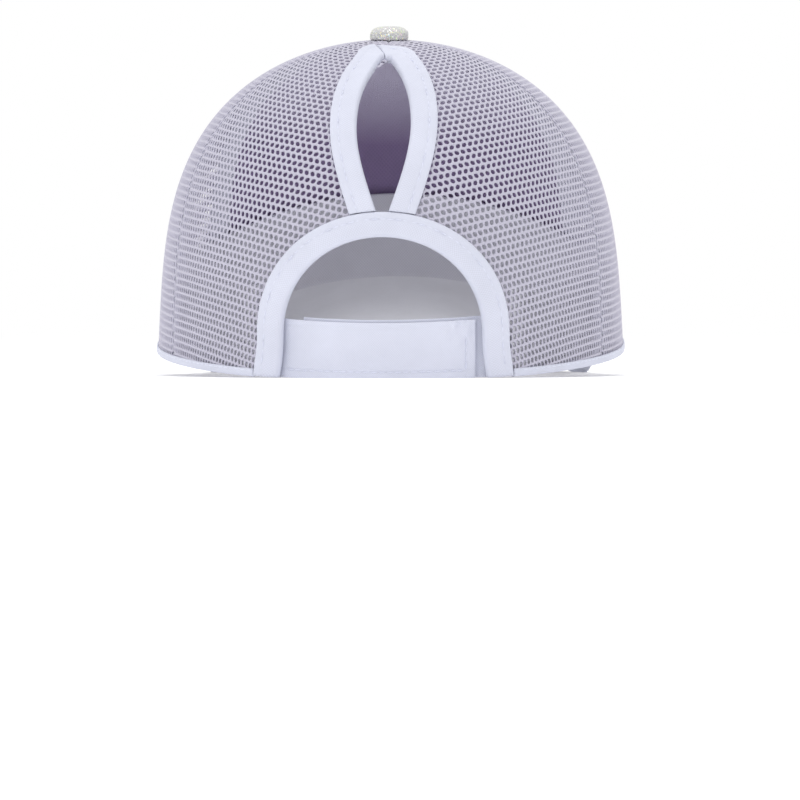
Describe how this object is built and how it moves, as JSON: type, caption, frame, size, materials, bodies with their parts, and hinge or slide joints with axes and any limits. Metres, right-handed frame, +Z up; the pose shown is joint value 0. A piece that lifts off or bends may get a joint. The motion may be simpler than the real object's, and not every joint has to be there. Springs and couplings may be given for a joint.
{
  "type": "ponytail baseball cap",
  "caption": "Soft cap with a curved visor, net sides and back, and an open slot above the strap arch for a high ponytail.",
  "frame": {"origin": "centre of the bounding box on the plane the cap stands on", "axes": "+Y from the visor towards the back of the cap, +Z up from the surface it stands on, +X to the wearer's left"},
  "size_m": [0.1698, 0.2552, 0.1263],
  "materials": {
    "glitter_cloth": "matte cloth with fine glitter",
    "white_net": "matte warp-knitted net",
    "white_tape": "matte woven tape",
    "white_lining": "matte woven cloth"
  },
  "bodies": {
    "root": {"front_panel": "glitter_cloth", "visor_top": "glitter_cloth", "button": "glitter_cloth", "side_net_left": "white_net", "side_net_right": "white_net", "back_net_left": "white_net", "back_net_right": "white_net", "front_seam_tape_left": "white_lining", "front_seam_tape_right": "white_lining", "back_seam_tape_left": "white_lining", "back_seam_tape_right": "white_lining", "arch_binding": "white_tape", "slot_binding_left": "white_tape", "slot_binding_right": "white_tape", "strap_outer": "white_tape", "strap_inner": "white_tape", "sweatband": "white_lining", "visor_under": "white_lining"}
  },
  "joints": []
}
